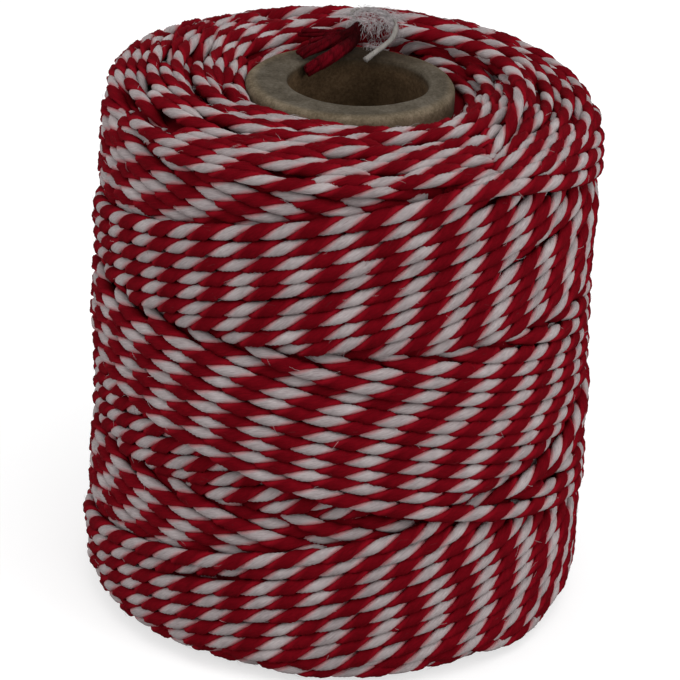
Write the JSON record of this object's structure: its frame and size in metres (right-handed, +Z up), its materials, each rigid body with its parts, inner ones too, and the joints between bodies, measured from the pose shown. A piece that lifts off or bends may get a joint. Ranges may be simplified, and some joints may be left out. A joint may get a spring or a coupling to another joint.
{
  "type": "spool of cotton twine",
  "caption": "Upright spool of two-ply red and white cotton twine, cross-wound on a plain paper tube, with a frayed loose end.",
  "frame": {"origin": "middle of the base, on the surface that the spool stands on", "axes": "+Z up along the tube, -Y towards the front"},
  "size_m": [0.0661, 0.066, 0.0737],
  "materials": {
    "paper_tube": "matt rolled grey-brown paper board",
    "twine": "matt twisted cotton, one red ply and one white ply",
    "red_cotton": "matt dyed cotton yarn",
    "white_cotton": "matt undyed cotton yarn"
  },
  "bodies": {
    "root": {"core": "paper_tube", "winding": "twine", "loose_end": "twine", "red_ply": "red_cotton", "white_ply": "white_cotton"}
  },
  "joints": []
}
